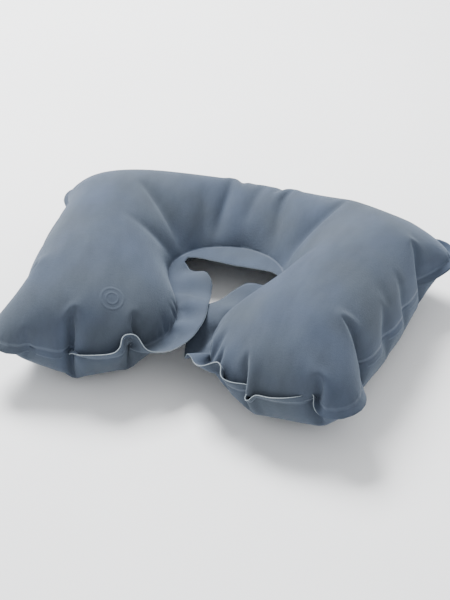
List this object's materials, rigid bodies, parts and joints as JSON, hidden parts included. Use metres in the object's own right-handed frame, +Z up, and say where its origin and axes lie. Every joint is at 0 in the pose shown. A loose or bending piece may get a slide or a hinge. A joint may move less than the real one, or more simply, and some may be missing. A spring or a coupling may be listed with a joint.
{
  "type": "inflatable u shaped neck pillow",
  "caption": "Inflatable U-shaped travel neck pillow of flocked film, with a welded flange, a split inner web and a push-in oral valve in its underside.",
  "frame": {"origin": "middle of the pillow's footprint, on the surface that it rests on", "axes": "+Z up, the U opens towards -Y with its bend at +Y, +X to the right arm"},
  "size_m": [0.4417, 0.3346, 0.106],
  "materials": {
    "flock_top": "grey-blue short-pile flock, matt with a soft sheen",
    "flock_bottom": "grey-blue short-pile flock, matt with a soft sheen",
    "valve_plastic": "soft translucent moulded plastic",
    "flap_film": "clear soft film"
  },
  "bodies": {
    "pillow": {"top_sheet": "flock_top", "bottom_sheet": "flock_bottom", "valve_flange": "valve_plastic", "valve_cone": "valve_plastic"},
    "stem": {"valve_stem": "valve_plastic", "plug_tether": "valve_plastic"},
    "plug": {"valve_plug": "valve_plastic"},
    "flap": {"check_flap": "flap_film"}
  },
  "joints": [
    {"name": "stem_pull", "type": "slide", "parent": "pillow", "child": "stem", "axis": [0, 0, -1], "range_m": [0, 0.018], "deforming": ["valve_cone"]},
    {"name": "plug_hinge", "type": "hinge", "parent": "stem", "child": "plug", "pos_m": [-0.1118, -0.08584, 0.0013], "axis": [0, 1, 0], "range_deg": [0, 100]},
    {"name": "flap_hinge", "type": "hinge", "parent": "stem", "child": "flap", "pos_m": [-0.1006, -0.08584, 0.0123], "axis": [0, 1, 0], "range_deg": [0, 60]}
  ]
}
